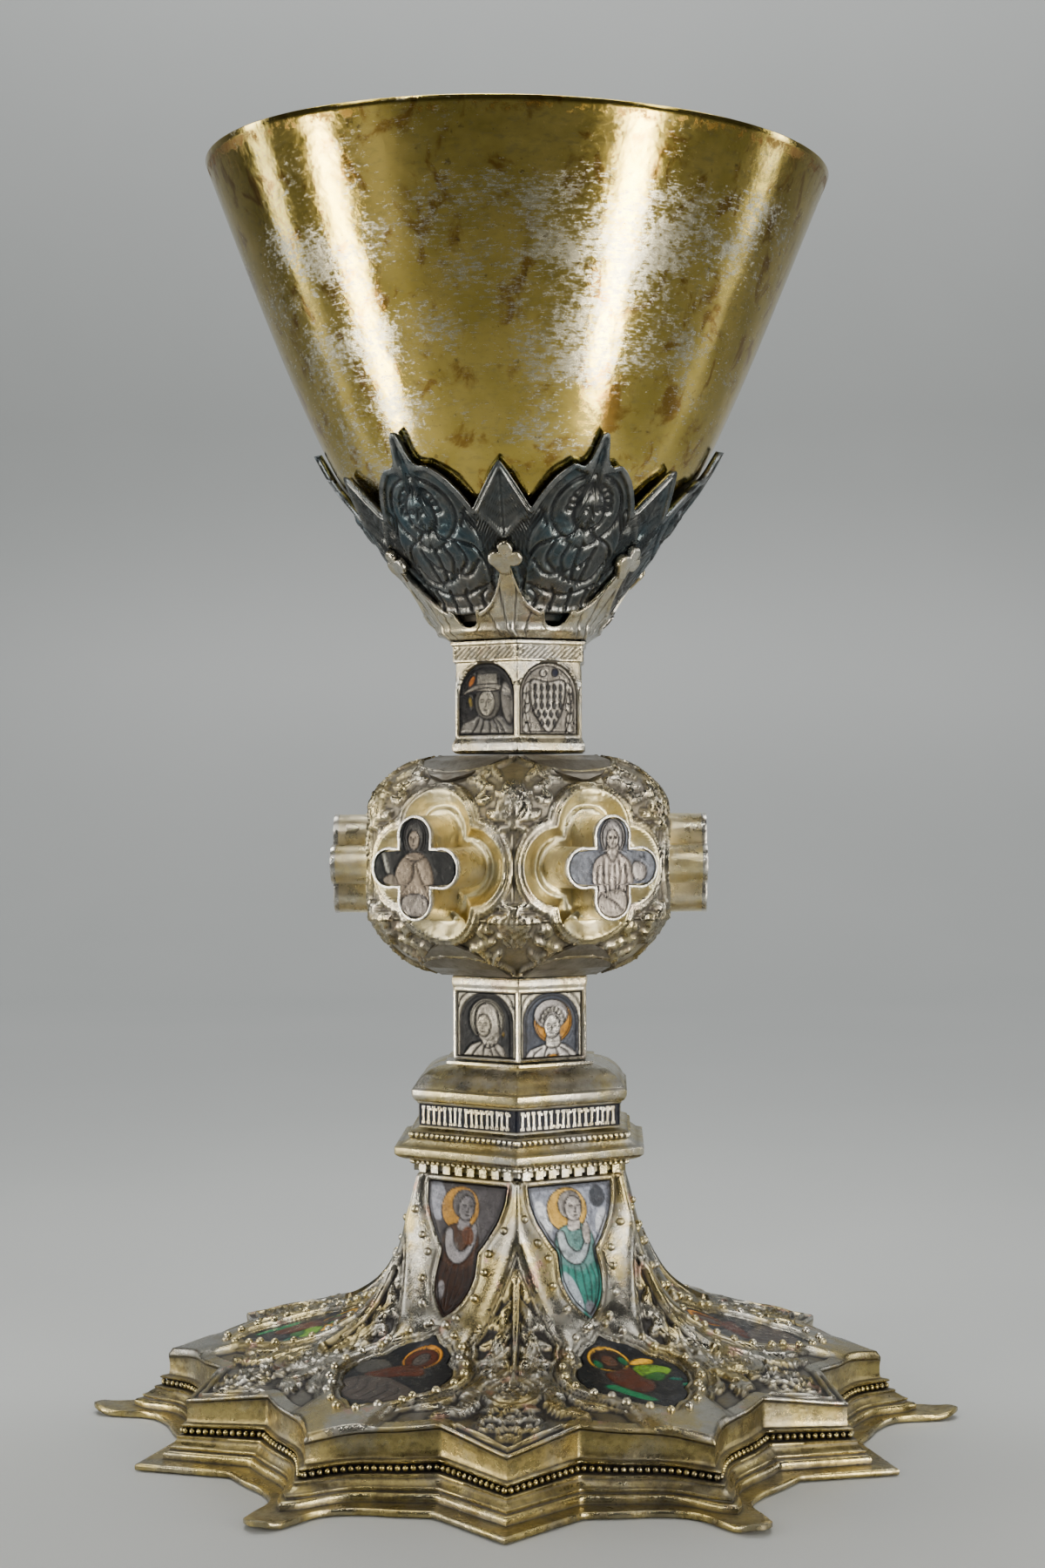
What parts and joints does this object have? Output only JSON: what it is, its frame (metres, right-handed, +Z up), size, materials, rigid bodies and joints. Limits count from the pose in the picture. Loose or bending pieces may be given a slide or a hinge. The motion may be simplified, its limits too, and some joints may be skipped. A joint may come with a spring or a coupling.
{
  "type": "chalice",
  "caption": "Standing chalice: plain conical cup in a calyx of petals, hexagonal stem with lobed knot and bosses, stepped plinth and a spreading lobed foot with enamel plates.",
  "frame": {"origin": "On the stem's axis, at the resting plane under the foot.", "axes": "+Z up along the stem, -Y is the front, where one arris of the stem stands, +X to the viewer's right."},
  "size_m": [0.148, 0.138, 0.2143],
  "materials": {
    "cup_gilt": "gilded silver, polished, worn to silver in patches, brown stain under the rim",
    "calyx_oxidised": "silver, oxidised nearly black with a blue-green sheen, engraved",
    "cresting_silver": "silver with traces of gilding, dark in the engraved lines",
    "stem_silver": "silver with dull gilding, dark in the recesses",
    "knot_silver": "chased silver, the dishes gilded, dark in the recesses",
    "plinth_silver": "silver, mouldings lightly gilded, dark inscription band",
    "foot_silver": "chased silver with dull gilding and dark recesses",
    "foot_rim_gilt": "gilded silver, tarnished, black between the beads",
    "boss_gilt": "gilded silver, polished collets",
    "enamel_dark": "translucent enamel and niello over engraved silver, glassy, worn"
  },
  "bodies": {
    "root": {"cup": "cup_gilt", "calyx": "calyx_oxidised", "cresting": "cresting_silver", "upper_stem": "stem_silver", "lower_stem": "stem_silver", "knot": "knot_silver", "plinth": "plinth_silver", "foot": "foot_silver", "foot_rim": "foot_rim_gilt", "boss_1": "boss_gilt", "boss_plate_1": "enamel_dark", "spear_plaque_1": "enamel_dark", "medallion_1": "enamel_dark", "upper_plaque_1": "enamel_dark", "lower_plaque_1": "enamel_dark", "knot_leaf_top_1": "calyx_oxidised", "knot_leaf_bottom_1": "calyx_oxidised", "boss_2": "boss_gilt", "boss_plate_2": "enamel_dark", "spear_plaque_2": "enamel_dark", "medallion_2": "enamel_dark", "upper_plaque_2": "enamel_dark", "lower_plaque_2": "enamel_dark", "knot_leaf_top_2": "calyx_oxidised", "knot_leaf_bottom_2": "calyx_oxidised", "boss_3": "boss_gilt", "boss_plate_3": "enamel_dark", "spear_plaque_3": "enamel_dark", "medallion_3": "enamel_dark", "upper_plaque_3": "enamel_dark", "lower_plaque_3": "enamel_dark", "knot_leaf_top_3": "calyx_oxidised", "knot_leaf_bottom_3": "calyx_oxidised", "boss_4": "boss_gilt", "boss_plate_4": "enamel_dark", "spear_plaque_4": "enamel_dark", "medallion_4": "enamel_dark", "upper_plaque_4": "enamel_dark", "lower_plaque_4": "enamel_dark", "knot_leaf_top_4": "calyx_oxidised", "knot_leaf_bottom_4": "calyx_oxidised", "boss_5": "boss_gilt", "boss_plate_5": "enamel_dark", "spear_plaque_5": "enamel_dark", "medallion_5": "enamel_dark", "upper_plaque_5": "enamel_dark", "lower_plaque_5": "enamel_dark", "knot_leaf_top_5": "calyx_oxidised", "knot_leaf_bottom_5": "calyx_oxidised", "boss_6": "boss_gilt", "boss_plate_6": "enamel_dark", "spear_plaque_6": "enamel_dark", "medallion_6": "enamel_dark", "upper_plaque_6": "enamel_dark", "lower_plaque_6": "enamel_dark", "knot_leaf_top_6": "calyx_oxidised", "knot_leaf_bottom_6": "calyx_oxidised"}
  },
  "joints": []
}
